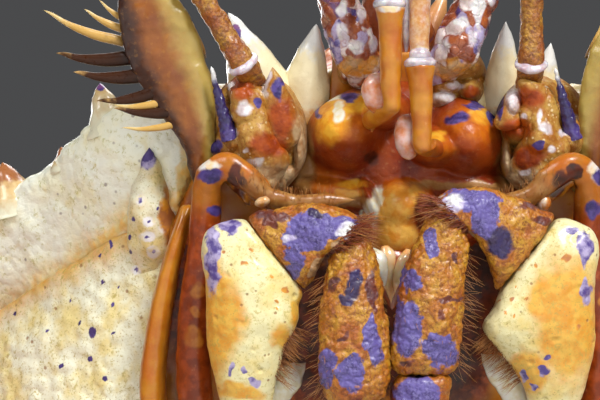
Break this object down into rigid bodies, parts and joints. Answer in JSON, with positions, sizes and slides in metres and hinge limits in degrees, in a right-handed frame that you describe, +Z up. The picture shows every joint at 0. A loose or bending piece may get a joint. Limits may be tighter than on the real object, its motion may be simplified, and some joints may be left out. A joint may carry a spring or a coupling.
{
  "type": "puget sound king crab",
  "caption": "Life-size standing crab with a domed knobbly shell, raised spotted mouthparts and eyes, pincers held low and forward, and jointed walking legs spread wide.",
  "frame": {"origin": "on the floor, under the middle of the crab's bounding box; the feet stand at Z = 0", "axes": "+Z up; the crab faces -Y, so its left side is at +X and its right side at -X"},
  "size_m": [0.4054, 0.3023, 0.1953],
  "materials": {
    "back_shell": "rough orange-red shell with violet and cream blotches",
    "cream_shell": "wet cream shell with yellow shading and small dark pits",
    "orange_shell": "wet orange shell with violet patches",
    "violet_shell": "wet violet shell with white and red-brown blocks",
    "eye": "glossy black"
  },
  "bodies": {
    "root": {"abdomen": "cream_shell", "antenna_left": "orange_shell", "antenna_right": "orange_shell", "antenna_root_left": "orange_shell", "antenna_root_right": "orange_shell", "antenna_scale_left": "orange_shell", "antenna_scale_right": "orange_shell", "antennule_left": "orange_shell", "antennule_right": "orange_shell", "antennule_root_left": "orange_shell", "antennule_root_right": "orange_shell", "carapace": "back_shell", "cheek_left": "cream_shell", "cheek_right": "cream_shell", "claw_left_arm": "back_shell", "claw_left_finger": "back_shell", "claw_left_hand": "back_shell", "claw_left_wrist": "back_shell", "claw_right_arm": "back_shell", "claw_right_finger": "back_shell", "claw_right_hand": "back_shell", "claw_right_wrist": "back_shell", "eye_left": "eye", "eye_right": "eye", "eyestalk_left": "violet_shell", "eyestalk_right": "violet_shell", "face_plate": "orange_shell", "leg_1_left_dactyl": "back_shell", "leg_1_left_merus": "back_shell", "leg_1_left_shin": "back_shell", "leg_1_right_dactyl": "back_shell", "leg_1_right_merus": "back_shell", "leg_1_right_shin": "back_shell", "leg_2_left_dactyl": "back_shell", "leg_2_left_merus": "back_shell", "leg_2_left_shin": "back_shell", "leg_2_right_dactyl": "back_shell", "leg_2_right_merus": "back_shell", "leg_2_right_shin": "back_shell", "leg_3_left_dactyl": "back_shell", "leg_3_left_merus": "back_shell", "leg_3_left_shin": "back_shell", "leg_3_right_dactyl": "back_shell", "leg_3_right_merus": "back_shell", "leg_3_right_shin": "back_shell", "maxilliped_carpus_left": "orange_shell", "maxilliped_carpus_right": "orange_shell", "maxilliped_dactyl_left": "violet_shell", "maxilliped_dactyl_right": "violet_shell", "maxilliped_exopod_left": "orange_shell", "maxilliped_exopod_right": "orange_shell", "maxilliped_ischium_left": "cream_shell", "maxilliped_ischium_right": "cream_shell", "maxilliped_merus_left": "cream_shell", "maxilliped_merus_right": "cream_shell", "maxilliped_propodus_left": "orange_shell", "maxilliped_propodus_right": "orange_shell", "mouth": "cream_shell", "thorax": "cream_shell"}
  },
  "joints": []
}
